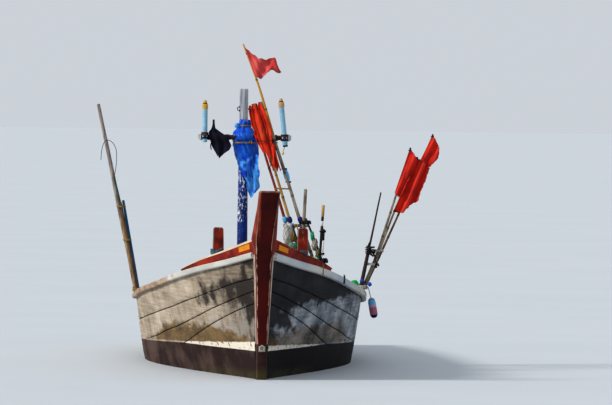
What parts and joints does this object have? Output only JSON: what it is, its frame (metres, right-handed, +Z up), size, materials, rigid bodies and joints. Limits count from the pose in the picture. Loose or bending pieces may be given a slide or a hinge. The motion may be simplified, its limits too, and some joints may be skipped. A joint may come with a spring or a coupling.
{
  "type": "longtail fishing boat",
  "caption": "Open planked wooden fishing boat with mooring bitts, a mast with lamps, marker poles with red flags, and a pivoting engine with a long propeller tail.",
  "frame": {"origin": "on the waterline, on the hull's centre plane at midships", "axes": "+Z up, -Y towards the bow, +X towards port"},
  "size_m": [2.8527, 9.7647, 3.1381],
  "materials": {
    "plank_wood": "weathered bare planks with old paint",
    "boot_paint": "worn dark red bottom paint",
    "stem_wood": "worn red-brown paint on timber",
    "rail_wood": "worn white paint",
    "washboard_wood": "worn red-brown paint",
    "deck_wood": "bare weathered boards",
    "mast_paint": "flaking blue paint over grey wood",
    "bamboo": "dry bamboo and stick",
    "lamp_plastic": "pale blue tube with a yellow cap",
    "flag_cloth": "faded red cloth",
    "navy_cloth": "dark blue cloth",
    "wrap_film": "thin blue plastic film",
    "netting": "white mesh",
    "float_plastic": "foam and plastic float",
    "steel": "painted steel with rust",
    "tube_metal": "dull metal",
    "engine_metal": "oily cast metal",
    "tank_paint": "gloss red",
    "bronze": "cast bronze"
  },
  "bodies": {
    "hull": {"stem_post": "stem_wood", "keel": "boot_paint", "frames": "deck_wood", "foredeck": "deck_wood", "aft_deck": "deck_wood", "floorboards": "deck_wood", "mast_thwart": "deck_wood", "midship_thwart": "deck_wood", "aft_thwart": "deck_wood", "transom": "stem_wood", "mast": "mast_paint", "cross_arm": "bamboo", "lamp_port": "lamp_plastic", "lamp_starboard": "lamp_plastic", "flag_pole": "bamboo", "top_flag": "flag_cloth", "furled_poles": "bamboo", "furled_flags": "flag_cloth", "net_bag": "netting", "grey_sticks": "bamboo", "brown_stick": "bamboo", "plastic_wrap": "wrap_film", "navy_cloth": "navy_cloth", "port_poles": "bamboo", "port_flag_1": "flag_cloth", "port_flag_2": "flag_cloth", "port_flag_3": "flag_cloth", "hanging_float": "float_plastic", "starboard_poles": "bamboo", "engine_bracket": "steel", "garboard_fore_port": "boot_paint", "bilge_strake_fore_port": "boot_paint", "side_strake_fore_port": "plank_wood", "sheer_strake_fore_port": "plank_wood", "garboard_aft_port": "boot_paint", "bilge_strake_aft_port": "boot_paint", "side_strake_aft_port": "plank_wood", "sheer_strake_aft_port": "plank_wood", "rub_rail_port": "rail_wood", "washboard_port": "washboard_wood", "bitt_port": "stem_wood", "garboard_fore_starboard": "boot_paint", "bilge_strake_fore_starboard": "boot_paint", "side_strake_fore_starboard": "plank_wood", "sheer_strake_fore_starboard": "plank_wood", "garboard_aft_starboard": "boot_paint", "bilge_strake_aft_starboard": "boot_paint", "side_strake_aft_starboard": "plank_wood", "sheer_strake_aft_starboard": "plank_wood", "rub_rail_starboard": "rail_wood", "washboard_starboard": "washboard_wood", "bitt_starboard": "stem_wood"},
    "swivel": {"swivel_yoke": "steel"},
    "engine": {"engine_bed": "steel", "engine_block": "engine_metal", "fuel_tank": "tank_paint", "tail_tube": "tube_metal", "tiller": "steel"},
    "propeller": {"propeller": "bronze"}
  },
  "joints": [
    {"name": "engine_swivel", "type": "hinge", "parent": "hull", "child": "swivel", "pos_m": [0, 3.6, 0.48], "axis": [0, 0, 1], "range_deg": [-50, 50]},
    {"name": "engine_tilt", "type": "hinge", "parent": "swivel", "child": "engine", "pos_m": [0, 3.6, 0.56], "axis": [1, 0, 0], "range_deg": [-22, 8]},
    {"name": "propeller_spin", "type": "hinge", "parent": "engine", "child": "propeller", "pos_m": [0, 5.8, 0.56], "axis": [0, 1, 0], "continuous": true}
  ]
}
